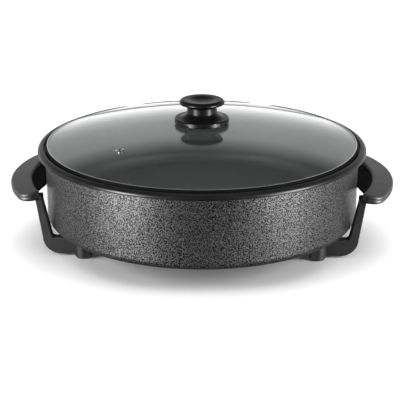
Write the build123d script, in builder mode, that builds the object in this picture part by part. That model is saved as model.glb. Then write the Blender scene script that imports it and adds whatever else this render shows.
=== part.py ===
"""Round electric party griddle: a deep cast pan with a tubular element pressed into its underside, a glass lid
with a knob, and a cool-touch handle with two legs on each side. Millimetres, +Z up, handles along X.
The origin is on the table, on the pan's axis."""

import os
from math import asin, atan2, cos, pi, radians, sin, sqrt

from build123d import *

# Pan, all heights above the table
RIM_RADIUS = 210.0  # outermost point of the rim
RIM_TOP = 126.5
RIM_UNDERSIDE = 120.2
RIM_ROUND = 5.6  # rounding of the rim's top outer edge
SEAT_RADIUS = 202.0  # the lid drops inside this radius
SEAT_HEIGHT = 122.5
WALL_RADIUS = 200.3  # outside of the wall
WALL_THICKNESS = 3.0
PAN_BOTTOM = 30.3
FLOOR_TOP = 36.0
OUTER_CORNER = 9.0
INNER_CORNER = 16.0

# Heating element, pressed into a cast rib under the floor
ELEMENT_RADIUS = 110.0
TUBE_RADIUS = 4.2
TUBE_HEIGHT = 21.0
RIB_WIDTH = 16.0
RIB_BOTTOM = 21.0
END_SPREAD = 18.0  # half the distance between the two straight ends
END_BEND = 14.0
TUBE_END = 148.0
PROBE_RADIUS = 3.2
PROBE_HEIGHT = 24.6
PROBE_DEPTH = 88.0

# Inlet for the plug-in thermostat, under the right handle
INLET_BACK = 146.0
INLET_MOUTH = 180.0
INLET_HALF_WIDTH = 31.0
INLET_BOTTOM = 7.0
INLET_TOP = 30.0
INLET_WALL = 2.2
BACK_WALL = 4.0
PIN_RADIUS = 2.4
PIN_TIP = 170.0
TAB_HALF_SPAN = 37.5  # the two fixing tabs' screws

# Handles: a base with a web to the pan, and a cover on its crescent
BASE_BOTTOM = 74.0
SPLIT_HEIGHT = 82.3  # joint between base and cover, at the crescent's inner edge
GRIP_TOP = 86.6  # top of the cover, at the same edge
GRIP_FALL = 0.14  # how much joint and top fall, for each mm outwards
GRIP_CENTRE = 55.0  # centre of that fall, on the X axis
GRIP_TIP = 246.3
GRIP_INNER = 219.2  # inner edge of the crescent at the middle
NOSE_OUTER = (225.6, 82.0)
NOSE_TIP = (213.5, 89.4)
NOSE_INNER = (199.6, 80.4)
WEB_BOTTOM, WEB_TOP = 77.2, 81.0
WEB_AT_WALL, WEB_AT_GRIP = 33.0, 64.0  # half its length along the wall and along the crescent
LUG_REACH = 212.0
LUG_BOTTOM = 72.0
LUG_HALF_WIDTH = 14.0
LUG_SCREW = (206.5, 8.0)
COVER_SCREWS = [(232.5, 0.0), (224.0, 52.0), (224.0, -52.0)]
COVER_SEAT = 77.0  # height that their heads bear on
GRIP_ROUND = 2.6  # upper edge of the cover
BASE_ROUND = 2.4  # lower outer edge of the base
SEAM_CHAMFER = 0.6  # makes the groove between the two
SEAT_ROUND = 1.5

# Legs
LEG_BACK, LEG_FRONT = 69.5, 82.0  # their stretch in Y
LEG_TOP_OUTER, LEG_TOP_INNER = 204.8, 196.2
LEG_FOOT_OUTER, LEG_FOOT_INNER = 197.4, 185.6
LEG_BEND = 22.0
LEG_CROOK = 4.0  # inside of the bend
LEG_ROUND = 1.2  # long edges of the strip
BEAM_TOP = 24.0
BEAM_BOTTOM = 2.5
TONGUE_REACH, TONGUE_TOP = 218.0, 76.8  # tongue let into the underside of the base
SEAT_TOP = 79.6  # top of the seat over the tongue
LEG_SCREW = (211.5, 75.8)
FOOT_X, FOOT_Y = 146.5, 84.0
BOSS_RADIUS = 10.4
BOSS_BOTTOM = 3.0
SCREW_SEAT = 17.0

# Lid
BAND_RADIUS = 200.0
BAND_BOTTOM = 122.8
BAND_TOP = 129.0
BAND_SHEET = 0.8
BAND_LIP = 3.0
GLASS_TOP = 152.3  # at the axis
GLASS_THICKNESS = 4.0
GLASS_EDGE_HEIGHT = 128.2  # its upper face at the band
STUD_HOLE = 4.0
VENT_RADIUS = 132.4
VENT_ANGLE = 222.8
VENT_BORE = 2.2
VENT_FLANGE = 5.3
VENT_NECK = 3.6

# Knob
KNOB_FLANGE = 35.0
KNOB_STEP = 159.2  # height of the flange's shoulder
KNOB_NECK = 19.3
KNOB_NECK_FOOT = 165.5
KNOB_HEAD = 28.8
KNOB_HEAD_FOOT = 176.0
KNOB_TOP = 182.8
DISH_RADIUS = 17.0
NOTCHES = 8
NOTCH_PHASE = -74.7

CLEARANCE = 0.1
M4_SHANK, M4_HEAD = 2.0, 3.6
M3_SHANK, M3_HEAD = 1.5, 2.7

PARTS = []


def keep(part, label):
    """Labels one finished piece and puts it on the list to write."""
    part.label = label
    PARTS.append(part)
    return part


def mirrored(part, side_x, side_y=1):
    """A copy of a piece made for the right rear corner, on the side that the signs name."""
    if side_x < 0:
        part = part.mirror(Plane.YZ)
    if side_y < 0:
        part = part.mirror(Plane.XZ)
    return part


def sphere_radius(rise, half_chord):
    return (half_chord**2 + rise**2) / (2 * rise)


def tube_path():
    """Centreline of the element: a ring whose two ends turn outwards along +X."""
    bend_x = sqrt((ELEMENT_RADIUS + END_BEND) ** 2 - (END_SPREAD + END_BEND) ** 2)
    bend_y = END_SPREAD + END_BEND
    turn = atan2(bend_y, bend_x)
    on_ring = (ELEMENT_RADIUS * cos(turn), ELEMENT_RADIUS * sin(turn))
    mid = turn / 2 - 3 * pi / 4
    bend_mid = (bend_x + END_BEND * cos(mid), bend_y + END_BEND * sin(mid))
    with BuildLine(Plane.XY.offset(TUBE_HEIGHT)) as line:
        Line((TUBE_END, END_SPREAD), (bend_x, END_SPREAD))
        ThreePointArc((bend_x, END_SPREAD), bend_mid, on_ring)
        ThreePointArc(on_ring, (-ELEMENT_RADIUS, 0), (on_ring[0], -on_ring[1]))
        ThreePointArc((on_ring[0], -on_ring[1]), (bend_mid[0], -bend_mid[1]), (bend_x, -END_SPREAD))
        Line((bend_x, -END_SPREAD), (TUBE_END, -END_SPREAD))
    return line.line


def element_tube(radius):
    with BuildPart() as tube:
        with BuildSketch(Plane(origin=(TUBE_END, END_SPREAD, TUBE_HEIGHT), z_dir=(-1, 0, 0))):
            Circle(radius)
        sweep(path=tube_path())
    return tube.part


def make_pan():
    """The cast pan: wall, rim with the lid's seat, floor, element rib, probe boss and handle lugs."""
    wall_inner = WALL_RADIUS - WALL_THICKNESS
    with BuildPart() as pan:
        with BuildSketch(Plane.XZ):
            with BuildLine():
                Line((0, PAN_BOTTOM), (WALL_RADIUS - OUTER_CORNER, PAN_BOTTOM))
                RadiusArc(
                    (WALL_RADIUS - OUTER_CORNER, PAN_BOTTOM),
                    (WALL_RADIUS, PAN_BOTTOM + OUTER_CORNER),
                    -OUTER_CORNER,
                )
                Polyline(
                    (WALL_RADIUS, PAN_BOTTOM + OUTER_CORNER),
                    (WALL_RADIUS, RIM_UNDERSIDE),
                    (RIM_RADIUS - 0.8, RIM_UNDERSIDE),
                    (RIM_RADIUS, RIM_UNDERSIDE + 0.8),
                )
                RadiusArc(
                    (RIM_RADIUS, RIM_UNDERSIDE + 0.8),
                    (RIM_RADIUS - RIM_ROUND, RIM_TOP),
                    -RIM_ROUND,
                )
                Polyline(
                    (RIM_RADIUS - RIM_ROUND, RIM_TOP),
                    (SEAT_RADIUS + 0.6, RIM_TOP),
                    (SEAT_RADIUS, RIM_TOP - 0.6),
                    (SEAT_RADIUS, SEAT_HEIGHT),
                    (wall_inner + 1.0, SEAT_HEIGHT),
                    (wall_inner, SEAT_HEIGHT - 1.0),
                    (wall_inner, FLOOR_TOP + INNER_CORNER),
                )
                RadiusArc(
                    (wall_inner, FLOOR_TOP + INNER_CORNER),
                    (wall_inner - INNER_CORNER, FLOOR_TOP),
                    INNER_CORNER,
                )
                Line((wall_inner - INNER_CORNER, FLOOR_TOP), (0, FLOOR_TOP))
                Line((0, FLOOR_TOP), (0, PAN_BOTTOM))
            make_face()
        revolve(axis=Axis.Z)
        # rib that the element is pressed into
        with BuildSketch(Plane.XY.offset(RIB_BOTTOM)):
            Circle(ELEMENT_RADIUS + RIB_WIDTH / 2)
            Circle(ELEMENT_RADIUS - RIB_WIDTH / 2, mode=Mode.SUBTRACT)
        extrude(amount=PAN_BOTTOM - RIB_BOTTOM + 1)
        # terminal block and probe boss
        with BuildSketch(Plane.XY.offset(RIB_BOTTOM - 1.5)):
            with Locations(((ELEMENT_RADIUS + INLET_BACK) / 2, 0)):
                RectangleRounded(INLET_BACK - ELEMENT_RADIUS, 2 * END_SPREAD + RIB_WIDTH, 3)
        extrude(amount=PAN_BOTTOM - RIB_BOTTOM + 2)
        with BuildSketch(Plane.XY.offset(PROBE_HEIGHT - PROBE_RADIUS - 3)):
            with Locations((INLET_BACK - PROBE_DEPTH / 2 - 4, 0)):
                RectangleRounded(PROBE_DEPTH + 8, 4 * PROBE_RADIUS, 3)
        extrude(amount=PAN_BOTTOM - PROBE_HEIGHT + PROBE_RADIUS + 3.5)
        # lugs under the webs of the handles
        for side in (-1, 1):
            with BuildSketch(Plane.XY.offset(LUG_BOTTOM)):
                with Locations((side * (LUG_REACH + WALL_RADIUS - 2) / 2, 0)):
                    RectangleRounded(LUG_REACH - WALL_RADIUS + 2, 2 * LUG_HALF_WIDTH, 0.9)
            extrude(amount=WEB_BOTTOM - LUG_BOTTOM)
            with Locations(*((side * LUG_SCREW[0], y, LUG_BOTTOM) for y in (-LUG_SCREW[1], LUG_SCREW[1]))):
                Cylinder(M4_SHANK, 12, mode=Mode.SUBTRACT)
        # probe bore, tapped foot holes and tab holes
        with Locations(Plane(origin=(INLET_BACK, 0, PROBE_HEIGHT), z_dir=(1, 0, 0))):
            Cylinder(
                PROBE_RADIUS, PROBE_DEPTH, align=(Align.CENTER, Align.CENTER, Align.MAX), mode=Mode.SUBTRACT
            )
        with Locations(Plane.XY.offset(PAN_BOTTOM)):
            with GridLocations(2 * FOOT_X, 2 * FOOT_Y, 2, 2):
                Cylinder(M4_SHANK, 8, mode=Mode.SUBTRACT)
            with Locations((INLET_BACK + 8, TAB_HALF_SPAN), (INLET_BACK + 8, -TAB_HALF_SPAN)):
                Cylinder(M3_SHANK, 7, mode=Mode.SUBTRACT)
        add(element_tube(TUBE_RADIUS), mode=Mode.SUBTRACT)
    return keep(pan.part, "pan_body")


def make_element():
    keep(element_tube(TUBE_RADIUS), "heating_element")
    with BuildPart() as seals:
        for y in (-END_SPREAD, END_SPREAD):
            with Locations(Plane(origin=(TUBE_END, y, TUBE_HEIGHT), z_dir=(1, 0, 0))):
                Cylinder(
                    TUBE_RADIUS - 0.4, BACK_WALL, align=(Align.CENTER, Align.CENTER, Align.MIN)
                )
                Cylinder(
                    PIN_RADIUS,
                    BACK_WALL,
                    align=(Align.CENTER, Align.CENTER, Align.MIN),
                    mode=Mode.SUBTRACT,
                )
    keep(seals.part, "terminal_seals")
    with BuildPart() as pins:
        for y in (-END_SPREAD, END_SPREAD):
            with Locations(Plane(origin=(TUBE_END, y, TUBE_HEIGHT), z_dir=(1, 0, 0))):
                Cylinder(PIN_RADIUS, PIN_TIP - TUBE_END, align=(Align.CENTER, Align.CENTER, Align.MIN))
        fillet(pins.edges().filter_by(GeomType.CIRCLE).group_by(Axis.X)[-1], 1.0)
    keep(pins.part, "terminal_pins")


def make_inlet():
    """Shroud round the pins, open towards +X, with two fixing tabs and its screws, and the earth contact."""
    middle = (INLET_BOTTOM + INLET_TOP) / 2
    tall = INLET_TOP - INLET_BOTTOM
    with BuildPart() as guard:
        with BuildSketch(Plane(origin=(INLET_BACK, 0, middle), x_dir=(0, 1, 0), z_dir=(1, 0, 0))):
            RectangleRounded(2 * INLET_HALF_WIDTH, tall, 5)
        extrude(amount=INLET_MOUTH - INLET_BACK)
        with BuildSketch(Plane(origin=(INLET_BACK + BACK_WALL + 2, 0, middle), x_dir=(0, 1, 0), z_dir=(1, 0, 0))):
            RectangleRounded(2 * (INLET_HALF_WIDTH - INLET_WALL), tall - 2 * INLET_WALL, 3)
        extrude(amount=INLET_MOUTH - INLET_BACK, mode=Mode.SUBTRACT)
        with BuildSketch(Plane.XY.offset(PAN_BOTTOM - 3.2)):
            with Locations((INLET_BACK + 8, 0)):
                SlotOverall(2 * TAB_HALF_SPAN + 11, 11, rotation=90)
        extrude(amount=3.2)
        with BuildSketch(Plane(origin=(INLET_BACK + BACK_WALL + 2, 0, middle), x_dir=(0, 1, 0), z_dir=(1, 0, 0))):
            Rectangle(2 * (INLET_HALF_WIDTH - INLET_WALL) - 6, tall - 2 * INLET_WALL)
        extrude(amount=INLET_MOUTH - INLET_BACK, mode=Mode.SUBTRACT)
        with Locations((INLET_BACK + 8, TAB_HALF_SPAN, PAN_BOTTOM), (INLET_BACK + 8, -TAB_HALF_SPAN, PAN_BOTTOM)):
            Cylinder(M3_SHANK, 8, mode=Mode.SUBTRACT)
        # clearance for the element's ends, the probe and the casting
        for y in (-END_SPREAD, END_SPREAD):
            with Locations(Plane(origin=(INLET_BACK, y, TUBE_HEIGHT), z_dir=(1, 0, 0))):
                Cylinder(TUBE_RADIUS, 30, mode=Mode.SUBTRACT)
        with Locations(Plane(origin=(INLET_BACK, 0, PROBE_HEIGHT), z_dir=(1, 0, 0))):
            Cylinder(PROBE_RADIUS + 0.8, 30, mode=Mode.SUBTRACT)
    keep(guard.part, "inlet_guard")
    with BuildPart() as tab:
        with BuildSketch(Plane(origin=(INLET_BACK + BACK_WALL + 2, 0, INLET_BOTTOM + INLET_WALL), z_dir=(0, 0, 1))):
            with Locations((9, 0)):
                Rectangle(18, 8)
        extrude(amount=1.2)
        fillet(tab.edges().filter_by(Axis.Z).group_by(Axis.X)[-1], 2.5)
    keep(tab.part, "earth_contact")
    tabs = [(INLET_BACK + 8, y, PAN_BOTTOM - 3.2) for y in (-TAB_HALF_SPAN, TAB_HALF_SPAN)]
    keep(screws(tabs, M3_SHANK, M3_HEAD, 6.0, 1.8), "inlet_screws")


def screws(places, shank, head, length, head_height):
    """Pan-head screws that point up, one solid at each place; a place is under the screw's head."""
    with BuildPart() as group:
        with Locations(*places):
            Cylinder(shank, length, align=(Align.CENTER, Align.CENTER, Align.MIN))
            Cylinder(head, head_height, align=(Align.CENTER, Align.CENTER, Align.MAX))
        fillet(group.edges().filter_by(GeomType.CIRCLE).group_by(Axis.Z)[0], head_height * 0.45)
        with BuildSketch(Plane.XY.offset(places[0][2] - head_height)):
            with Locations(*((x, y) for x, y, z in places)):
                Rectangle(head * 1.2, head * 0.26)
                Rectangle(head * 0.26, head * 1.2)
        extrude(amount=head_height * 0.55, mode=Mode.SUBTRACT)
    return group.part


def crescent():
    """Outline of the right grip, seen from above."""
    (x_outer, y_outer), (x_tip, y_tip), (x_inner, y_inner) = NOSE_OUTER, NOSE_TIP, NOSE_INNER
    ThreePointArc((x_outer, -y_outer), (GRIP_TIP, 0), (x_outer, y_outer))
    ThreePointArc((x_outer, y_outer), (x_tip, y_tip), (x_inner, y_inner))
    ThreePointArc((x_inner, y_inner), (GRIP_INNER, 0), (x_inner, -y_inner))
    ThreePointArc((x_inner, -y_inner), (x_tip, -y_tip), (x_outer, -y_outer))


def cone_section(low, high):
    """Section of a ring round GRIP_CENTRE between two conical faces, given at the crescent's inner edge."""
    reach_in, reach_out = 40.0, 50.0
    Polyline(
        (GRIP_INNER - reach_in, low + GRIP_FALL * reach_in),
        (GRIP_INNER + reach_out, low - GRIP_FALL * reach_out),
        (GRIP_INNER + reach_out, high - GRIP_FALL * reach_out),
        (GRIP_INNER - reach_in, high + GRIP_FALL * reach_in),
        close=True,
    )


def make_handle(side, name):
    """One handle: cover on the crescent, and the base with its web to the pan and seats for the legs."""
    fall_axis = Axis((GRIP_CENTRE, 0, 0), (0, 0, 1))
    web_radius = WALL_RADIUS + 0.2
    web_x = sqrt(web_radius**2 - WEB_AT_WALL**2)
    web_outer = GRIP_INNER - 14.0
    with BuildPart() as cover:
        with BuildSketch(Plane.XY.offset(BASE_BOTTOM)):
            with BuildLine():
                crescent()
            make_face()
        extrude(amount=2 * (GRIP_TOP - BASE_BOTTOM))
        with BuildSketch(Plane.XZ):
            with BuildLine():
                cone_section(SPLIT_HEIGHT, GRIP_TOP)
            make_face()
        revolve(axis=fall_axis, mode=Mode.INTERSECT)
        fillet(cover.faces().sort_by(Axis.Z)[-1].edges(), GRIP_ROUND)
        with Locations(*((x, y, SPLIT_HEIGHT - 3) for x, y in COVER_SCREWS)):
            Cylinder(M3_SHANK, 8, mode=Mode.SUBTRACT)
    keep(mirrored(cover.part, side), f"{name}_grip_cover")
    with BuildPart() as base:
        with BuildSketch(Plane.XY.offset(BASE_BOTTOM)):
            with BuildLine():
                crescent()
            make_face()
        extrude(amount=2 * (GRIP_TOP - BASE_BOTTOM))
        with BuildSketch(Plane.XZ):
            with BuildLine():
                cone_section(SPLIT_HEIGHT, SPLIT_HEIGHT + 60)
            make_face()
        revolve(axis=fall_axis, mode=Mode.SUBTRACT)
        chamfer(base.faces().sort_by(Axis.Z)[-1].edges(), SEAM_CHAMFER)
        fillet(base.faces().sort_by(Axis.Z)[0].edges().sort_by(Axis.X)[-1], BASE_ROUND)
        with BuildSketch(Plane.XY.offset(WEB_BOTTOM)):
            with BuildLine():
                Line((web_outer, -WEB_AT_GRIP), (web_x, -WEB_AT_WALL))
                ThreePointArc((web_x, -WEB_AT_WALL), (web_radius, 0), (web_x, WEB_AT_WALL))
                Line((web_x, WEB_AT_WALL), (web_outer, WEB_AT_GRIP))
                ThreePointArc((web_outer, WEB_AT_GRIP), (GRIP_INNER + 2, 0), (web_outer, -WEB_AT_GRIP))
            make_face()
        extrude(amount=WEB_TOP - WEB_BOTTOM)
        # seats for the legs' tongues
        leg_middle = (LEG_BACK + LEG_FRONT) / 2
        leg_width = LEG_FRONT - LEG_BACK
        with BuildSketch(Plane.XY.offset(BASE_BOTTOM)):
            with Locations((LEG_TOP_INNER + 7, leg_middle), (LEG_TOP_INNER + 7, -leg_middle)):
                RectangleRounded(14, leg_width + 1.0, SEAT_ROUND)
        extrude(amount=SEAT_TOP - BASE_BOTTOM)
        with BuildSketch(Plane.XY.offset(BASE_BOTTOM - 1)):
            with Locations(
                ((LEG_TOP_INNER + TONGUE_REACH) / 2 - 1, leg_middle),
                ((LEG_TOP_INNER + TONGUE_REACH) / 2 - 1, -leg_middle),
            ):
                Rectangle(TONGUE_REACH - LEG_TOP_INNER + 2, leg_width)
        extrude(amount=TONGUE_TOP - BASE_BOTTOM + 1, mode=Mode.SUBTRACT)
        with Locations(*((x, y, COVER_SEAT) for x, y in COVER_SCREWS)):
            Cylinder(M3_SHANK, 20, mode=Mode.SUBTRACT)
            Cylinder(M3_HEAD + 0.3, 8, align=(Align.CENTER, Align.CENTER, Align.MAX), mode=Mode.SUBTRACT)
        with Locations(*((LUG_SCREW[0], y, WEB_BOTTOM) for y in (-LUG_SCREW[1], LUG_SCREW[1]))):
            Cylinder(M4_SHANK, 5.4, mode=Mode.SUBTRACT)
        with Locations(*((LEG_SCREW[0], y, TONGUE_TOP) for y in (-LEG_SCREW[1], LEG_SCREW[1]))):
            Cylinder(M3_SHANK, 7.4, mode=Mode.SUBTRACT)
    keep(mirrored(base.part, side), f"{name}_grip_base")


def make_leg():
    """The right rear leg: tongue, strip, bend, beam under the pan and the foot's boss, in one moulding."""
    lean = (LEG_TOP_OUTER - LEG_FOOT_OUTER) / (BASE_BOTTOM - BEAM_TOP)
    bend_top = BEAM_BOTTOM + LEG_BEND
    outer_at_bend = LEG_FOOT_OUTER + lean * (bend_top - BEAM_TOP)
    with BuildPart() as leg:
        with BuildSketch(Plane.XZ.offset(-LEG_BACK)):
            with BuildLine():
                Polyline(
                    (outer_at_bend - LEG_BEND, BEAM_BOTTOM),
                    (FOOT_X, BEAM_BOTTOM),
                    (FOOT_X, BEAM_TOP),
                    (LEG_FOOT_INNER, BEAM_TOP),
                    (LEG_TOP_INNER, BASE_BOTTOM),
                    (LEG_TOP_INNER, TONGUE_TOP),
                    (TONGUE_REACH, TONGUE_TOP),
                    (TONGUE_REACH, BASE_BOTTOM),
                    (LEG_TOP_OUTER, BASE_BOTTOM),
                    (outer_at_bend, bend_top),
                )
                RadiusArc((outer_at_bend, bend_top), (outer_at_bend - LEG_BEND, BEAM_BOTTOM), LEG_BEND)
            make_face()
        extrude(amount=-(LEG_FRONT - LEG_BACK))
        upright = leg.edges().filter_by(Axis.Y)
        crook = upright.filter_by_position(Axis.Z, BEAM_TOP - 0.1, BEAM_TOP + 0.1).sort_by(Axis.X)[-1]
        fillet(crook, LEG_CROOK)
        flanks = leg.faces().filter_by(Axis.Y).edges().filter_by(Axis.Y, reverse=True)
        long_edges = [e for e in flanks if e.center().X > FOOT_X + BOSS_RADIUS and e.center().Z < BASE_BOTTOM - 2]
        fillet(long_edges, LEG_ROUND)
        with BuildSketch(Plane.XY.offset(BOSS_BOTTOM)):
            with Locations((FOOT_X, FOOT_Y)):
                Circle(BOSS_RADIUS)
        extrude(amount=PAN_BOTTOM - BOSS_BOTTOM)
        with Locations((FOOT_X, FOOT_Y, 0)):
            Cylinder(M4_SHANK + 0.2, 80, mode=Mode.SUBTRACT)
            Cylinder(M4_HEAD + 1.0, 2 * SCREW_SEAT, mode=Mode.SUBTRACT)
            Cylinder(BOSS_RADIUS + 0.01, 2 * BOSS_BOTTOM, mode=Mode.SUBTRACT)
        with Locations((LEG_SCREW[0], LEG_SCREW[1], BASE_BOTTOM)):
            Cylinder(M3_SHANK + 0.1, 24, mode=Mode.SUBTRACT)
            Cylinder(M3_HEAD + 0.2, 2.4, mode=Mode.SUBTRACT)
    return leg.part


def make_foot():
    """Rubber plug that closes the right rear boss and stands on the table."""
    with BuildPart() as foot:
        with BuildSketch(Plane.XZ.offset(-FOOT_Y)):
            with BuildLine():
                Polyline(
                    (FOOT_X, 0),
                    (FOOT_X + BOSS_RADIUS - 1.6, 0),
                    (FOOT_X + BOSS_RADIUS - 0.4, 1.2),
                    (FOOT_X + BOSS_RADIUS - 0.4, BOSS_BOTTOM),
                    (FOOT_X + M4_HEAD + 0.9, BOSS_BOTTOM),
                    (FOOT_X + M4_HEAD + 0.9, BOSS_BOTTOM + 7),
                    (FOOT_X, BOSS_BOTTOM + 7),
                    (FOOT_X, 0),
                )
            make_face()
        revolve(axis=Axis((FOOT_X, FOOT_Y, 0), (0, 0, 1)))
    return foot.part


def make_lid():
    """Glass dome with its stud and vent holes, the steel band round it and the eyelet in the vent."""
    edge = BAND_RADIUS - BAND_SHEET - CLEARANCE
    rise = GLASS_TOP - GLASS_EDGE_HEIGHT
    outer = sphere_radius(rise, edge)
    centre_z = GLASS_TOP - outer
    inner = outer - GLASS_THICKNESS
    low_edge = centre_z + sqrt(inner**2 - edge**2)
    vent_x = VENT_RADIUS * cos(radians(VENT_ANGLE))
    vent_y = VENT_RADIUS * sin(radians(VENT_ANGLE))
    tilt = asin(VENT_RADIUS / outer)
    normal = (sin(tilt) * cos(radians(VENT_ANGLE)), sin(tilt) * sin(radians(VENT_ANGLE)), cos(tilt))
    on_glass = Plane(origin=(vent_x, vent_y, centre_z + sqrt(outer**2 - VENT_RADIUS**2)), z_dir=normal)
    with BuildPart() as glass:
        with BuildSketch(Plane.XZ):
            with BuildLine():
                RadiusArc((0, GLASS_TOP), (edge, GLASS_EDGE_HEIGHT), outer)
                Line((edge, GLASS_EDGE_HEIGHT), (edge, low_edge))
                RadiusArc((edge, low_edge), (0, GLASS_TOP - GLASS_THICKNESS), -inner)
                Line((0, GLASS_TOP - GLASS_THICKNESS), (0, GLASS_TOP))
            make_face()
        revolve(axis=Axis.Z)
        with Locations((0, 0, GLASS_TOP)):
            Cylinder(STUD_HOLE, 30, mode=Mode.SUBTRACT)
        with Locations(on_glass):
            Cylinder(VENT_NECK, 30, mode=Mode.SUBTRACT)
    keep(glass.part, "lid_glass")
    with BuildPart() as band:
        with BuildSketch(Plane.XZ):
            with BuildLine():
                Polyline(
                    (BAND_RADIUS - 0.5, BAND_BOTTOM),
                    (BAND_RADIUS, BAND_BOTTOM + 0.5),
                    (BAND_RADIUS, BAND_TOP - 0.9),
                )
                RadiusArc((BAND_RADIUS, BAND_TOP - 0.9), (BAND_RADIUS - 0.9, BAND_TOP), -0.9)
                Line((BAND_RADIUS - 0.9, BAND_TOP), (BAND_RADIUS - BAND_LIP, BAND_TOP + 0.35))
                Line((BAND_RADIUS - BAND_LIP, BAND_TOP + 0.35), (BAND_RADIUS - BAND_LIP, BAND_TOP - 0.2))
                Line((BAND_RADIUS - BAND_LIP, BAND_TOP - 0.2), (BAND_RADIUS - BAND_SHEET, BAND_TOP - 0.75))
                Polyline(
                    (BAND_RADIUS - BAND_SHEET, BAND_TOP - 0.75),
                    (BAND_RADIUS - BAND_SHEET, BAND_BOTTOM + BAND_SHEET),
                    (BAND_RADIUS - BAND_LIP, BAND_BOTTOM + BAND_SHEET),
                    (BAND_RADIUS - BAND_LIP, BAND_BOTTOM),
                    (BAND_RADIUS - 0.5, BAND_BOTTOM),
                )
            make_face()
        revolve(axis=Axis.Z)
    keep(band.part, "lid_rim_band")
    with BuildPart() as vent:
        with BuildSketch(Plane(origin=on_glass.origin, x_dir=on_glass.x_dir, z_dir=-on_glass.y_dir)):
            with BuildLine():
                Polyline(
                    (VENT_BORE, 0.6),
                    (VENT_BORE + 0.8, 1.1),
                    (VENT_FLANGE - 1.0, 1.1),
                    (VENT_FLANGE, 0.3),
                    (VENT_FLANGE, 0.05),
                    (VENT_NECK - 0.05, 0.05),
                    (VENT_NECK - 0.05, -GLASS_THICKNESS - 0.15),
                    (VENT_FLANGE - 0.4, -GLASS_THICKNESS - 0.15),
                    (VENT_FLANGE - 0.8, -GLASS_THICKNESS - 0.9),
                    (VENT_BORE, -GLASS_THICKNESS - 0.9),
                    (VENT_BORE, 0.6),
                )
            make_face()
        revolve(axis=Axis(on_glass.origin, on_glass.z_dir))
    keep(vent.part, "steam_vent")


def make_knob():
    """Knob: flanged base, mushroom grip with a dished top, brass insert, and the screw from under the glass."""
    base_foot = GLASS_TOP + 0.05
    with BuildPart() as base:
        with BuildSketch(Plane.XZ):
            with BuildLine():
                Polyline(
                    (STUD_HOLE, base_foot),
                    (KNOB_FLANGE - 1.5, base_foot),
                    (KNOB_FLANGE, base_foot + 1.4),
                    (KNOB_FLANGE - 0.3, KNOB_STEP - 1.2),
                    (KNOB_FLANGE - 1.6, KNOB_STEP),
                )
                ThreePointArc(
                    (KNOB_FLANGE - 1.6, KNOB_STEP),
                    (KNOB_NECK + 5.4, KNOB_STEP + 1.6),
                    (KNOB_NECK, KNOB_NECK_FOOT),
                )
                Polyline(
                    (KNOB_NECK, KNOB_NECK_FOOT),
                    (STUD_HOLE, KNOB_NECK_FOOT),
                    (STUD_HOLE, base_foot),
                )
            make_face()
        revolve(axis=Axis.Z)
        # air notches along the lower edge of the flange
        with Locations(Plane.XY.offset(base_foot)):
            with PolarLocations(KNOB_FLANGE, NOTCHES, start_angle=NOTCH_PHASE):
                Box(8, 2.8, 6.0, mode=Mode.SUBTRACT)
    keep(base.part, "knob_base")
    with BuildPart() as grip:
        with BuildSketch(Plane.XZ):
            with BuildLine():
                Line((0, KNOB_NECK_FOOT + 0.05), (KNOB_NECK, KNOB_NECK_FOOT + 0.05))
                Line((KNOB_NECK, KNOB_NECK_FOOT + 0.05), (KNOB_NECK - 0.5, KNOB_HEAD_FOOT - 3))
                ThreePointArc(
                    (KNOB_NECK - 0.5, KNOB_HEAD_FOOT - 3),
                    (KNOB_NECK + 1.4, KNOB_HEAD_FOOT - 0.5),
                    (KNOB_NECK + 5.0, KNOB_HEAD_FOOT),
                )
                Line((KNOB_NECK + 5.0, KNOB_HEAD_FOOT), (KNOB_HEAD - 1.6, KNOB_HEAD_FOOT + 0.6))
                ThreePointArc(
                    (KNOB_HEAD - 1.6, KNOB_HEAD_FOOT + 0.6),
                    (KNOB_HEAD, KNOB_HEAD_FOOT + 2.4),
                    (KNOB_HEAD - 0.5, KNOB_TOP - 2.4),
                )
                ThreePointArc(
                    (KNOB_HEAD - 0.5, KNOB_TOP - 2.4),
                    (KNOB_HEAD - 2.4, KNOB_TOP - 0.4),
                    (KNOB_HEAD - 5.0, KNOB_TOP),
                )
                Line((KNOB_HEAD - 5.0, KNOB_TOP), (DISH_RADIUS, KNOB_TOP - 0.5))
                RadiusArc((DISH_RADIUS, KNOB_TOP - 0.5), (0, KNOB_TOP - 3.2), sphere_radius(2.7, DISH_RADIUS))
                Line((0, KNOB_TOP - 3.2), (0, KNOB_NECK_FOOT + 0.05))
            make_face()
        revolve(axis=Axis.Z)
        with Locations((0, 0, KNOB_NECK_FOOT)):
            Cylinder(STUD_HOLE, 19, mode=Mode.SUBTRACT)
    keep(grip.part, "knob_grip")
    with BuildPart() as insert:
        with Locations((0, 0, KNOB_NECK_FOOT - 6)):
            Cylinder(STUD_HOLE - 0.02, 15, align=(Align.CENTER, Align.CENTER, Align.MIN))
            Cylinder(M4_SHANK + 0.02, 15, align=(Align.CENTER, Align.CENTER, Align.MIN), mode=Mode.SUBTRACT)
    keep(insert.part, "knob_insert")
    under = GLASS_TOP - GLASS_THICKNESS
    with BuildPart() as gasket:
        with BuildSketch(Plane.XY.offset(under - 1.5)):
            Circle(11)
            Circle(M4_SHANK + 0.1, mode=Mode.SUBTRACT)
        extrude(amount=1.35)
        fillet(gasket.faces().sort_by(Axis.Z)[0].outer_wire().edges(), 0.5)
    keep(gasket.part, "knob_gasket")
    with BuildPart() as washer:
        with BuildSketch(Plane.XY.offset(under - 2.7)):
            Circle(9)
            Circle(M4_SHANK + 0.1, mode=Mode.SUBTRACT)
        extrude(amount=1.2)
        fillet(washer.faces().sort_by(Axis.Z)[0].outer_wire().edges(), 0.4)
    keep(washer.part, "knob_washer")
    keep(screws([(0, 0, under - 2.7)], M4_SHANK, M4_HEAD + 0.6, 24, 2.4), "knob_screw")


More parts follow.
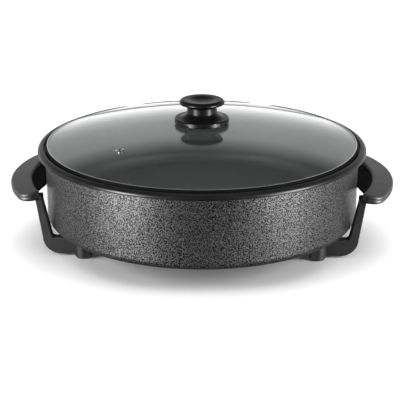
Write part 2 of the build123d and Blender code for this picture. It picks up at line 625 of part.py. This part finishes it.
def make_screws():
    """The groups of identical fasteners that hold the handles, legs and feet."""
    sides = (-1, 1)
    cover = [(side * x, y, COVER_SEAT) for side in sides for x, y in COVER_SCREWS]
    keep(screws(cover, M3_SHANK, M3_HEAD, 6.0, 1.8), "grip_cover_screws")
    lug = [(side * LUG_SCREW[0], end * LUG_SCREW[1], LUG_BOTTOM) for side in sides for end in sides]
    keep(screws(lug, M4_SHANK, M4_HEAD, 7.8, 2.2), "lug_screws")
    leg = [(side * LEG_SCREW[0], end * LEG_SCREW[1], BASE_BOTTOM + 1.2) for side in sides for end in sides]
    keep(screws(leg, M3_SHANK, M3_HEAD, 5.0, 1.6), "leg_screws")
    foot = [(side * FOOT_X, end * FOOT_Y, SCREW_SEAT) for side in sides for end in sides]
    keep(screws(foot, M4_SHANK, M4_HEAD, 16.5, 2.6), "foot_screws")


make_pan()
make_element()
make_inlet()
for side, name in ((-1, "left"), (1, "right")):
    make_handle(side, name)
leg_shape, foot_shape = make_leg(), make_foot()
for side, name in ((-1, "left"), (1, "right")):
    for end, place in ((-1, "front"), (1, "rear")):
        keep(mirrored(leg_shape, side, end), f"{name}_{place}_leg")
        keep(mirrored(foot_shape, side, end), f"{name}_{place}_foot")
make_screws()
make_lid()
make_knob()

os.makedirs("parts", exist_ok=True)
for part in PARTS:
    export_step(part, f"parts/{part.label}.step")
print(len(PARTS), "parts written")
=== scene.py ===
import math
import bmesh
import bpy
from mathutils import Matrix, Vector


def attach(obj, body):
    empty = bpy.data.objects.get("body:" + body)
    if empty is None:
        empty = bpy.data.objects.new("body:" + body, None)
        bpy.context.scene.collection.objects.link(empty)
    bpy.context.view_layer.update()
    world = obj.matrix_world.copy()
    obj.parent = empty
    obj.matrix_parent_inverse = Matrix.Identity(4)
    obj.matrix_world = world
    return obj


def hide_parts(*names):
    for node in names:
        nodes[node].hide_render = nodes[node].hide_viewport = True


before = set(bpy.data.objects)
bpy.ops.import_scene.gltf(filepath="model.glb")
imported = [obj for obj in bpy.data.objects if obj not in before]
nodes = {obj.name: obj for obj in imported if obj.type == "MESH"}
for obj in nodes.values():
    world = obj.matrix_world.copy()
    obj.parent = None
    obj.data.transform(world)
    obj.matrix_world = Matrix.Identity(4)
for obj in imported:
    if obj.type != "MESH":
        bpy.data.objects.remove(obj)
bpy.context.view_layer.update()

mm = 0.001
print("frame loaded:", len(nodes), "nodes")


# helpers for nodes and finishes

def nodeIn(tree, kind, settings=None, sockets=None):
    made = tree.nodes.new(kind)
    for key, value in (settings or {}).items():
        setattr(made, key, value)
    for key, value in (sockets or {}).items():
        made.inputs[key].default_value = value
    return made


def blankFinish(name, sockets):
    material = bpy.data.materials.new(name)
    material.use_nodes = True
    tree = material.node_tree
    tree.nodes.clear()
    output = nodeIn(tree, "ShaderNodeOutputMaterial")
    shader = nodeIn(tree, "ShaderNodeBsdfPrincipled", sockets=sockets)
    tree.links.new(shader.outputs["BSDF"], output.inputs["Surface"])
    return material, tree, shader


def noiseOn(tree, coords, scale, detail=2.0, roughness=0.5, stretch=None):
    if stretch:
        mapping = nodeIn(tree, "ShaderNodeMapping", sockets={"Scale": stretch})
        tree.links.new(coords, mapping.inputs["Vector"])
        coords = mapping.outputs["Vector"]
    noise = nodeIn(tree, "ShaderNodeTexNoise", sockets={
        "Scale": scale, "Detail": detail, "Roughness": roughness})
    tree.links.new(coords, noise.inputs["Vector"])
    return noise.outputs["Fac"]


def rangeOf(tree, source, low, high, start=0.3, end=0.7):
    ranged = nodeIn(tree, "ShaderNodeMapRange", sockets={
        "From Min": start, "From Max": end, "To Min": low, "To Max": high})
    tree.links.new(source, ranged.inputs["Value"])
    return ranged.outputs["Result"]


def tintBetween(tree, source, dark, light, start=0.3, end=0.7):
    ramp = nodeIn(tree, "ShaderNodeValToRGB")
    ramp.color_ramp.elements[0].position = start
    ramp.color_ramp.elements[0].color = (*dark, 1)
    ramp.color_ramp.elements[1].position = end
    ramp.color_ramp.elements[1].color = (*light, 1)
    tree.links.new(source, ramp.inputs["Fac"])
    return ramp.outputs["Color"]


def bumpFrom(tree, height, depth, strength, before=None):
    bump = nodeIn(tree, "ShaderNodeBump", sockets={"Distance": depth, "Strength": strength})
    tree.links.new(height, bump.inputs["Height"])
    if before:
        tree.links.new(before, bump.inputs["Normal"])
    return bump.outputs["Normal"]


# grain, cloudiness and roughness of a plain moulded, painted, rubber or metal part
def plainFinish(name, values):
    material, tree, shader = blankFinish(name, values.get("sockets"))
    coords = nodeIn(tree, "ShaderNodeTexCoord").outputs["Object"]
    cloud = noiseOn(tree, coords, values["cloudScale"], 4.0, 0.6, values.get("stretch"))
    grain = noiseOn(tree, coords, values["grainScale"], 3.0, 0.6, values.get("stretch"))
    tree.links.new(tintBetween(tree, cloud, values["dark"], values["light"]), shader.inputs["Base Color"])
    tree.links.new(rangeOf(tree, cloud, *values["roughness"]), shader.inputs["Roughness"])
    relief = bumpFrom(tree, grain, values["grainDepth"], values["grainStrength"])
    tree.links.new(relief, shader.inputs["Normal"])
    return material


def dress(names, material):
    for name in names:
        for slot in nodes[name].material_slots:
            slot.material = material


# helpers for meshes

# an open or closed line of (radius, height, rounding) in the XZ plane, with its corners rounded
def roundedLine(corners, closed=False, segments=5):
    mesh = bmesh.new()
    points = [mesh.verts.new((r * mm, 0, z * mm)) for r, z, _ in corners]
    pairs = list(zip(points, points[1:])) + ([(points[-1], points[0])] if closed else [])
    for a, b in pairs:
        mesh.edges.new((a, b))
    for point, (_, _, rounding) in zip(points, corners):
        if rounding:
            bmesh.ops.bevel(mesh, geom=[point], offset=rounding * mm, offset_type="OFFSET", affect="VERTICES",
                            segments=segments, profile=0.5, material=-1)
    return mesh


def spun(mesh, steps):
    bmesh.ops.spin(mesh, geom=mesh.verts[:] + mesh.edges[:], axis=(0, 0, 1), cent=(0, 0, 0),
                   angle=2 * math.pi, steps=steps, use_merge=True)
    bmesh.ops.remove_doubles(mesh, verts=mesh.verts[:], dist=1e-6)
    bmesh.ops.recalc_face_normals(mesh, faces=mesh.faces[:])
    return mesh


# cuts one bmesh with another and gives back what is left of the first
def cut(mesh, tool):
    pair = []
    for source in (mesh, tool):
        data = bpy.data.meshes.new("cutting")
        source.to_mesh(data)
        source.free()
        made = bpy.data.objects.new("cutting", data)
        bpy.context.scene.collection.objects.link(made)
        pair.append(made)
    change = pair[0].modifiers.new("cut", "BOOLEAN")
    change.operation, change.solver, change.object = "DIFFERENCE", "EXACT", pair[1]
    shape = pair[0].evaluated_get(bpy.context.evaluated_depsgraph_get())
    left = bmesh.new()
    left.from_mesh(shape.to_mesh())
    shape.to_mesh_clear()
    for made in pair:
        data = made.data
        bpy.data.objects.remove(made)
        bpy.data.meshes.remove(data)
    return left


# a box between two corners in mm, with its edges rounded
def block(low, high, rounding, segments=3):
    mesh = bmesh.new()
    middle = Vector([(a + b) / 2 * mm for a, b in zip(low, high)])
    size = [(b - a) * mm for a, b in zip(low, high)]
    bmesh.ops.create_cube(mesh, size=1, matrix=Matrix.LocRotScale(middle, None, Vector(size)))
    bmesh.ops.bevel(mesh, geom=mesh.edges[:], offset=rounding * mm, offset_type="OFFSET", affect="EDGES",
                    segments=segments, profile=0.5, material=-1)
    return mesh


# a rod of a radius and length in mm about a place, pointing along a direction
def rod(radius, length, place, along, steps=48):
    mesh = bmesh.new()
    turn = Vector(along).to_track_quat("Z", "Y")
    bmesh.ops.create_cone(mesh, cap_ends=True, segments=steps, radius1=radius * mm, radius2=radius * mm,
                          depth=length * mm, matrix=Matrix.LocRotScale(Vector(place) * mm, turn, None))
    return mesh


def together(meshes):
    whole = bmesh.new()
    for mesh in meshes:
        data = bpy.data.meshes.new("joining")
        mesh.to_mesh(data)
        mesh.free()
        whole.from_mesh(data)
        bpy.data.meshes.remove(data)
    return whole


# turns a bmesh into a shown piece that rides on a body
def pieceFrom(mesh, name, materials, body, replaced=(), sharp=40):
    data = bpy.data.meshes.new(name)
    mesh.to_mesh(data)
    mesh.free()
    data.shade_smooth()
    data.set_sharp_from_angle(angle=math.radians(sharp))
    for material in materials:
        data.materials.append(material)
    piece = bpy.data.objects.new(name, data)
    bpy.context.scene.collection.objects.link(piece)
    if body is None:
        return piece
    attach(piece, body)
    if replaced:
        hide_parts(*replaced)
    return piece


# the pan: hammered outside, smooth rim, non-stick inside
panCoat = {
    "sockets": {"Specular IOR Level": 0.4, "Metallic": 0.8},
    "markScale": 840.0,  # hammer marks per metre, about
    "markDetail": 1.0, "markRoughness": 0.4, "markDepth": 0.00012,
    "tintEdge": (0.44, 0.6), "reliefEdge": (0.35, 0.65),
    "fineScale": 1100.0, "fineDepth": 0.00008, "fineStrength": 0.5,
    "cloudScale": 14.0, "cloudDetail": 3.0,
    "dark": (0.012, 0.012, 0.012),
    "light": (0.225, 0.225, 0.225),
    "roughness": (0.29, 0.34),
}


def hammeredFinish():
    material, tree, shader = blankFinish("hammeredCoat", panCoat["sockets"])
    coords = nodeIn(tree, "ShaderNodeTexCoord").outputs["Object"]
    marks = noiseOn(tree, coords, panCoat["markScale"], panCoat["markDetail"], panCoat["markRoughness"])
    cloud = noiseOn(tree, coords, panCoat["cloudScale"], panCoat["cloudDetail"])
    fine = noiseOn(tree, coords, panCoat["fineScale"])
    tint = tintBetween(tree, marks, panCoat["dark"], panCoat["light"], *panCoat["tintEdge"])
    tree.links.new(tint, shader.inputs["Base Color"])
    tree.links.new(rangeOf(tree, cloud, *panCoat["roughness"]), shader.inputs["Roughness"])
    relief = bumpFrom(tree, rangeOf(tree, marks, 0.0, 1.0, *panCoat["reliefEdge"]), panCoat["markDepth"], 1.0)
    finish = bumpFrom(tree, fine, panCoat["fineDepth"], panCoat["fineStrength"], relief)
    tree.links.new(finish, shader.inputs["Normal"])
    return material


hammered = hammeredFinish()
rimCoat = plainFinish("rimCoat", {
    "sockets": {"Specular IOR Level": 0.14},
    "dark": (0.006, 0.006, 0.006), "light": (0.01, 0.01, 0.01), "roughness": (0.3, 0.38),
    "cloudScale": 30.0, "grainScale": 1400.0, "grainDepth": 0.00005, "grainStrength": 0.25})
nonStick = plainFinish("nonStickCoat", {
    "sockets": {"Specular IOR Level": 0.3},
    "dark": (0.041, 0.043, 0.0425), "light": (0.05, 0.052, 0.0515), "roughness": (0.5, 0.6),
    "cloudScale": 18.0, "grainScale": 1800.0, "grainDepth": 0.00006, "grainStrength": 0.3})

panShape = {
    "steps": 320,
    # radius, height and corner rounding, from the middle of the underside out, up and back in
    "line": [(0, 30.3, 0), (200.3, 30.3, 9), (200.3, 120.2, 1.0), (210, 120.2, 0.8), (210, 126.5, 5.6),
             (202, 126.5, 0.6), (202, 122.5, 0.3), (197.3, 122.5, 1.0), (197.3, 36, 16), (0, 36, 0)],
    "rimAbove": 119.4, "rimFrom": 196.6,  # what is painted as the rim
    "insideAbove": 33, "insideWithin": 198.6,  # what has the non-stick coat
}


def makePan():
    mesh = spun(roundedLine(panShape["line"], segments=8), panShape["steps"])
    for face in mesh.faces:
        middle = face.calc_center_median()
        radius, height = middle.xy.length / mm, middle.z / mm
        if height > panShape["rimAbove"] and radius > panShape["rimFrom"]:
            face.material_index = 1
        elif height > panShape["insideAbove"] and radius < panShape["insideWithin"]:
            face.material_index = 2
    return pieceFrom(mesh, "panShell", [hammered, rimCoat, nonStick], "pan", ["pan_body"])


castings = {
    "steps": 192,
    # cast rib over the element, its top buried in the floor
    "rib": [(102, 33, 0), (102, 21, 2.2), (118, 21, 2.2), (118, 33, 0)],
    "terminalBlock": ((110, -26, 19.5), (146, 26, 33), 2.0),
    "probeBoss": ((50, -6.4, 18.4), (145.9, 6.4, 33), 2.0),
    "probeBore": {"radius": 3.2, "depth": 88.0, "height": 24.6, "mouth": 146.0},
    "lug": ((198.5, -14, 72), (212, 14, 77.2), 0.9),
    "lugScrew": {"reach": 206.5, "spread": 8.0, "radius": 2.0},
    "past": 0.2,  # how far a cutter runs past the face that it opens
}


# what is cast on to the pan: element rib, terminal block, probe boss and the two handle lugs
def makeCastings():
    bore, screw = castings["probeBore"], castings["lugScrew"]
    pieces = [spun(roundedLine(castings["rib"], closed=True, segments=4), castings["steps"])]
    boreMiddle = (bore["mouth"] - bore["depth"] / 2 + castings["past"], 0, bore["height"])
    for name in ("terminalBlock", "probeBoss"):
        pieces.append(cut(block(*castings[name]), rod(bore["radius"], bore["depth"], boreMiddle, (1, 0, 0))))
    low, high, rounding = castings["lug"]
    for side in (-1, 1):
        inner, outer = sorted((side * low[0], side * high[0]))
        lug = block((inner, *low[1:]), (outer, *high[1:]), rounding)
        for end in (-1, 1):
            place = (side * screw["reach"], end * screw["spread"], low[2])
            lug = cut(lug, rod(screw["radius"], 4 * (high[2] - low[2]), place, (0, 0, 1), 24))
        pieces.append(lug)
    return pieceFrom(together(pieces), "panCastings", [hammered], "pan", sharp=35)


makePan()
makeCastings()
print("pan made")

# plain finishes for the carried-over parts
gripPlastic = plainFinish("gripPlastic", {
    "sockets": {"Specular IOR Level": 0.5},
    "dark": (0.019, 0.019, 0.0195), "light": (0.025, 0.025, 0.0255), "roughness": (0.46, 0.56),
    "cloudScale": 40.0, "grainScale": 1500.0, "grainDepth": 0.0001, "grainStrength": 0.5})
# darker than the grip plastic: partly its own tone, partly painted shade for the shadow under the pan
shadedLegPlastic = plainFinish("shadedLegPlastic", {
    "sockets": {"Specular IOR Level": 0.3},
    "dark": (0.009, 0.009, 0.009), "light": (0.015, 0.015, 0.015), "roughness": (0.46, 0.6),
    "cloudScale": 40.0, "grainScale": 1100.0, "grainDepth": 0.0002, "grainStrength": 0.6})
knobPlastic = plainFinish("knobPlastic", {
    "sockets": {"Specular IOR Level": 0.14},
    "dark": (0.002, 0.002, 0.002), "light": (0.004, 0.004, 0.004), "roughness": (0.3, 0.38),
    "cloudScale": 60.0, "grainScale": 700.0, "grainDepth": 0.00003, "grainStrength": 0.15})
rubber = plainFinish("footRubber", {
    "sockets": {"Specular IOR Level": 0.35},
    "dark": (0.01, 0.01, 0.01), "light": (0.017, 0.017, 0.017), "roughness": (0.6, 0.75),
    "cloudScale": 60.0, "grainScale": 900.0, "grainDepth": 0.0002, "grainStrength": 0.5})
brightSteel = plainFinish("rolledSteel", {
    "sockets": {"Metallic": 1.0},
    "dark": (0.78, 0.78, 0.78), "light": (0.88, 0.88, 0.88), "roughness": (0.1, 0.18),
    "cloudScale": 50.0, "grainScale": 900.0, "grainDepth": 0.00004, "grainStrength": 0.2,
    "stretch": (1, 1, 8)})
zinc = plainFinish("zincScrews", {
    "sockets": {"Metallic": 1.0},
    "dark": (0.42, 0.42, 0.41), "light": (0.58, 0.58, 0.57), "roughness": (0.28, 0.42),
    "cloudScale": 200.0, "grainScale": 2200.0, "grainDepth": 0.00004, "grainStrength": 0.3})
brass = plainFinish("plainBrass", {
    "sockets": {"Metallic": 1.0},
    "dark": (0.55, 0.4, 0.16), "light": (0.7, 0.54, 0.26), "roughness": (0.25, 0.4),
    "cloudScale": 150.0, "grainScale": 1500.0, "grainDepth": 0.00004, "grainStrength": 0.2})
sheath = plainFinish("elementSheath", {
    "sockets": {"Metallic": 1.0},
    "dark": (0.12, 0.1, 0.09), "light": (0.28, 0.26, 0.24), "roughness": (0.4, 0.6),
    "cloudScale": 40.0, "grainScale": 900.0, "grainDepth": 0.0001, "grainStrength": 0.4})
sealCeramic = plainFinish("sealCeramic", {
    "sockets": {},
    "dark": (0.6, 0.57, 0.5), "light": (0.75, 0.72, 0.66), "roughness": (0.5, 0.65),
    "cloudScale": 200.0, "grainScale": 1500.0, "grainDepth": 0.0001, "grainStrength": 0.3})

# painted shade: a near-black matt finish on the grip's web and the crescent's inner face, standing for the
# shade in the recess between grip and pan wall
paintedRecessShade = plainFinish("paintedRecessShade", {
    "sockets": {"Specular IOR Level": 0.08},
    "dark": (0.002, 0.002, 0.002), "light": (0.004, 0.004, 0.004), "roughness": (0.7, 0.85),
    "cloudScale": 40.0, "grainScale": 1100.0, "grainDepth": 0.0001, "grainStrength": 0.4})
# painted shade and dark reflection on the lid band's outer steel skirt
paintedEdgeShade = plainFinish("paintedEdgeShade", {
    "sockets": {"Specular IOR Level": 0.02},
    "dark": (0.003, 0.003, 0.003), "light": (0.006, 0.006, 0.006), "roughness": (0.6, 0.75),
    "cloudScale": 60.0, "grainScale": 900.0, "grainDepth": 0.00005, "grainStrength": 0.3})

sides = ("left", "right")
gripRecess = {"centre": 44.5, "radius": 175.0, "height": 76.9}  # the web and the crescent's inner face


# a merged copy of a carried-over part, with a second finish on the faces that the test picks
def twoFinishes(nodeName, name, materials, body, second):
    mesh = bmesh.new()
    mesh.from_mesh(nodes[nodeName].data)
    bmesh.ops.remove_doubles(mesh, verts=mesh.verts[:], dist=1e-6)
    for face in mesh.faces:
        face.material_index = int(second(face.calc_center_median() / mm))
    return pieceFrom(mesh, name, materials, body, [nodeName], sharp=35)


def inRecess(spot):
    reach = math.hypot(abs(spot.x) - gripRecess["centre"], spot.y)
    return spot.z > gripRecess["height"] and reach < gripRecess["radius"]


# the faces inside the grip recess take the painted shade
for side in sides:
    twoFinishes(f"{side}_grip_base", f"{side}GripBase", [gripPlastic, paintedRecessShade], "pan",
                inRecess)
dress([f"{side}_grip_cover" for side in sides], gripPlastic)
dress([f"{side}_{end}_leg" for side in sides for end in ("front", "rear")] + ["inlet_guard"], shadedLegPlastic)
dress([f"{side}_{end}_foot" for side in sides for end in ("front", "rear")] + ["knob_gasket"], rubber)
dress(["knob_base", "knob_grip"], knobPlastic)
dress(["steam_vent", "terminal_pins"], brightSteel)
dress(["grip_cover_screws", "lug_screws", "leg_screws", "foot_screws", "inlet_screws", "knob_screw",
       "knob_washer"], zinc)
dress(["knob_insert", "earth_contact"], brass)
dress(["heating_element"], sheath)
dress(["terminal_seals"], sealCeramic)
print("carried-over parts dressed")

# lid: glass dome and steel band
lid = {
    # the glass is part of a sphere through its top and its edge; the band is a line like the pan's
    "top": 152.3, "edgeHeight": 128.2, "edge": 199.1, "thick": 4.0, "studHole": 4.0,
    "steps": 256, "rings": 40, "paintedShadeOutside": 197.9,
    "vent": {"reach": 132.4, "direction": 222.8, "radius": 3.6},
    "band": [(200, 122.8, 0.5), (200, 129.0, 1.1), (197.9, 129.3, 0), (197, 129.4, 0.3), (197, 128.75, 0.1),
             (199.2, 128.2, 0.3), (199.2, 123.6, 0.3), (197, 123.6, 0.1), (197, 122.8, 0.1)],
}

glassCoat = {
    "sockets": {"Transmission Weight": 1.0, "IOR": 1.5, "Roughness": 0.0,
                "Base Color": (0.9, 0.925, 0.915, 1)},
    "waveScale": 9.0, "waveDepth": 0.0006, "waveStrength": 0.25,
    "shadow": (0.8, 0.82, 0.81, 1),  # what light keeps of its colour on the way through
}


def glassFinish():
    material, tree, shader = blankFinish("temperedGlass", glassCoat["sockets"])
    coords = nodeIn(tree, "ShaderNodeTexCoord").outputs["Object"]
    wave = noiseOn(tree, coords, glassCoat["waveScale"], 1.0)
    ripple = bumpFrom(tree, wave, glassCoat["waveDepth"], glassCoat["waveStrength"])
    tree.links.new(ripple, shader.inputs["Normal"])
    clear = nodeIn(tree, "ShaderNodeBsdfTransparent", sockets={"Color": glassCoat["shadow"]})
    path = nodeIn(tree, "ShaderNodeLightPath")
    mix = nodeIn(tree, "ShaderNodeMixShader")
    tree.links.new(path.outputs["Is Shadow Ray"], mix.inputs["Fac"])
    tree.links.new(shader.outputs["BSDF"], mix.inputs[1])
    tree.links.new(clear.outputs["BSDF"], mix.inputs[2])
    tree.links.new(mix.outputs["Shader"], tree.nodes["Material Output"].inputs["Surface"])
    return material


def makeGlass():
    rise = lid["top"] - lid["edgeHeight"]
    dome = (lid["edge"] ** 2 + rise ** 2) / (2 * rise)
    centre = lid["top"] - dome
    corners = []
    for sphere in (dome, dome - lid["thick"]):
        start, end = math.asin(lid["studHole"] / sphere), math.asin(lid["edge"] / sphere)
        angles = [start + (end - start) * step / lid["rings"] for step in range(lid["rings"] + 1)]
        side = [(sphere * math.sin(angle), centre + sphere * math.cos(angle), 0) for angle in angles]
        corners += side if sphere == dome else side[::-1]
    mesh = spun(roundedLine(corners, closed=True), lid["steps"])
    vent = lid["vent"]
    direction = math.radians(vent["direction"])
    outward = Vector((math.cos(direction), math.sin(direction), 0)) * vent["reach"]
    upward = outward + Vector((0, 0, math.sqrt(dome ** 2 - vent["reach"] ** 2)))
    hole = rod(vent["radius"], 5 * lid["thick"], upward + Vector((0, 0, centre)), upward, 32)
    pieceFrom(cut(mesh, hole), "lidDome", [glassFinish()], "lid", ["lid_glass"], sharp=30)


def makeBand():
    band = spun(roundedLine(lid["band"], closed=True, segments=4), lid["steps"])
    for face in band.faces:  # painted shade: the steel band's outer skirt, where it drops into the rim, is coloured near-black for its shade and dark reflection
        face.material_index = int(face.calc_center_median().xy.length / mm > lid["paintedShadeOutside"])
    pieceFrom(band, "lidBand", [brightSteel, paintedEdgeShade], "lid", ["lid_rim_band"], sharp=50)


makeGlass()
makeBand()
print("lid made")

# the white paper floor
stage = {
    "floorSize": 7.0,
    "floorLight": (0.93, 0.93, 0.93),
    "floorDark": (0.9, 0.9, 0.9),
    # the floor as all but the lens sees it, gloss too: painted shade, near-black in front and fading into the
    # paper colour at the back, so that what it mirrors and bounces is darker
    "paintedFloorShade": (0.07, 0.07, 0.07),
    "paintedShadeEdge": (-0.2, 0.5),
}


def makeFloor():
    mesh = bmesh.new()
    bmesh.ops.create_grid(mesh, x_segments=8, y_segments=8, size=stage["floorSize"])
    paper = plainFinish("stagePaper", {
        "sockets": {"Specular IOR Level": 0.2},
        "dark": stage["floorDark"], "light": stage["floorLight"], "roughness": (0.7, 0.8),
        "cloudScale": 2.0, "grainScale": 300.0, "grainDepth": 0.0001, "grainStrength": 0.1})
    tree = paper.node_tree
    tint = tree.nodes["Color Ramp"].outputs["Color"]
    path = nodeIn(tree, "ShaderNodeLightPath")
    axes = nodeIn(tree, "ShaderNodeSeparateXYZ")
    tree.links.new(tree.nodes["Texture Coordinate"].outputs["Object"], axes.inputs["Vector"])
    depth = rangeOf(tree, axes.outputs["Y"], 0.0, 1.0, *stage["paintedShadeEdge"])
    shadedFloorTint = tintBetween(tree, depth, stage["paintedFloorShade"], stage["floorLight"], 0.0, 1.0)
    # the lens sees the paper; every other ray sees the painted shade
    seen = nodeIn(tree, "ShaderNodeMix", {"data_type": "RGBA"})
    colours = [socket for socket in seen.inputs if socket.type == "RGBA"]
    tree.links.new(path.outputs["Is Camera Ray"], seen.inputs["Factor"])
    tree.links.new(shadedFloorTint, colours[0])
    tree.links.new(tint, colours[1])
    result = [socket for socket in seen.outputs if socket.type == "RGBA"][0]
    tree.links.new(result, tree.nodes["Principled BSDF"].inputs["Base Color"])
    pieceFrom(mesh, "studioFloor", [paper], None)


view = {
    "pitch": 19.73, "turn": 1.5, "distance": 1.5, "aimHeight": 0.0465, "sideways": -0.0025,
    "lens": 103.04, "sensor": 36.0,
}


def makeCamera():
    data = bpy.data.cameras.new("productCamera")
    data.lens = view["lens"]
    data.sensor_width = view["sensor"]
    camera = bpy.data.objects.new("productCamera", data)
    turn, pitch = math.radians(view["turn"]), math.radians(view["pitch"])
    right = Vector((math.cos(turn), math.sin(turn), 0))
    ahead = Vector((-math.sin(turn), math.cos(turn), 0))
    target = right * view["sideways"] + Vector((0, 0, view["aimHeight"]))
    back = ahead * -math.cos(pitch) + Vector((0, 0, math.sin(pitch)))
    camera.location = target + back * view["distance"]
    camera.rotation_euler = (math.pi / 2 - pitch, 0, turn)
    bpy.context.scene.collection.objects.link(camera)
    bpy.context.scene.camera = camera


# name, azimuth from the front (plus is right), height, distance, width, tall, watts, and whether it shows
# only in gloss, or else lights only what is matt
softBoxes = [
    ("leftBox", -48, 0.32, 1.45, 0.36, 0.6, 74, True),
    ("rightBox", 60, 0.32, 1.45, 0.36, 0.6, 74, True),
    ("leftFill", -70, 0.5, 1.6, 0.9, 0.9, 31, False),
    ("rightFill", 74, 0.5, 1.6, 0.9, 0.9, 31, False),
    ("topBox", 180, 2.1, 0.02, 2.9, 2.9, 56, False),
    ("backBox", 180, 2.0, 2.6, 3.0, 1.4, 40, False),
]


def makeLights():
    for name, azimuth, height, distance, wide, tall, watts, mirrored in softBoxes:
        data = bpy.data.lights.new(name, "AREA")
        data.shape = "RECTANGLE"
        data.size, data.size_y = wide, tall
        data.energy = watts
        lamp = bpy.data.objects.new(name, data)
        angle = math.radians(azimuth)
        lamp.location = (distance * math.sin(angle), -distance * math.cos(angle), height)
        lamp.rotation_euler = (Vector((0, 0, 0.08)) - lamp.location).to_track_quat("-Z", "Y").to_euler()
        lamp.visible_camera = False
        lamp.visible_glossy = mirrored
        lamp.visible_transmission = mirrored
        lamp.visible_diffuse = not mirrored
        bpy.context.scene.collection.objects.link(lamp)


sky = {
    "strength": 1.5,
    "camera": 0.66,  # what the lens itself sees behind the floor
    "front": 0.07,  # share that is left in front of the object, on the lens side
    "frontEdge": (-0.35, 0.35),
    # sine of the height over the floor, and how bright the paper backdrop is there
    "steps": [(0.04, 1.0), (0.09, 0.8), (0.16, 0.56), (0.25, 0.44), (0.41, 0.44), (0.46, 0.27), (0.52, 0.07),
              (0.6, 0.05), (1.0, 0.05)],
}


def makeWorld():
    world = bpy.data.worlds.new("studio")
    bpy.context.scene.world = world
    world.use_nodes = True
    tree = world.node_tree
    tree.nodes.clear()
    coords = nodeIn(tree, "ShaderNodeTexCoord")
    axes = nodeIn(tree, "ShaderNodeSeparateXYZ")
    tree.links.new(coords.outputs["Generated"], axes.inputs["Vector"])
    ramp = nodeIn(tree, "ShaderNodeValToRGB")
    stops = ramp.color_ramp.elements
    while len(stops) < len(sky["steps"]):
        stops.new(0.5)
    for stop, (place, bright) in zip(stops, sky["steps"]):
        stop.position = place
        stop.color = (bright, bright, bright, 1)
    tree.links.new(axes.outputs["Z"], ramp.inputs["Fac"])
    depth = rangeOf(tree, axes.outputs["Y"], sky["front"], 1.0, *sky["frontEdge"])
    shade = nodeIn(tree, "ShaderNodeMath", {"operation": "MULTIPLY"})
    tree.links.new(ramp.outputs["Color"], shade.inputs[0])
    tree.links.new(depth, shade.inputs[1])
    path = nodeIn(tree, "ShaderNodeLightPath")
    seen = nodeIn(tree, "ShaderNodeMix", {"data_type": "FLOAT"}, {"B": sky["camera"]})
    tree.links.new(path.outputs["Is Camera Ray"], seen.inputs["Factor"])
    tree.links.new(shade.outputs["Value"], seen.inputs["A"])
    back = nodeIn(tree, "ShaderNodeBackground", sockets={"Strength": sky["strength"]})
    tree.links.new(seen.outputs["Result"], back.inputs["Color"])
    output = nodeIn(tree, "ShaderNodeOutputWorld")
    tree.links.new(back.outputs["Background"], output.inputs["Surface"])


makeFloor()
makeCamera()
makeLights()
makeWorld()
bpy.context.scene.view_settings.view_transform = "Standard"
print("stage, camera and lights made")
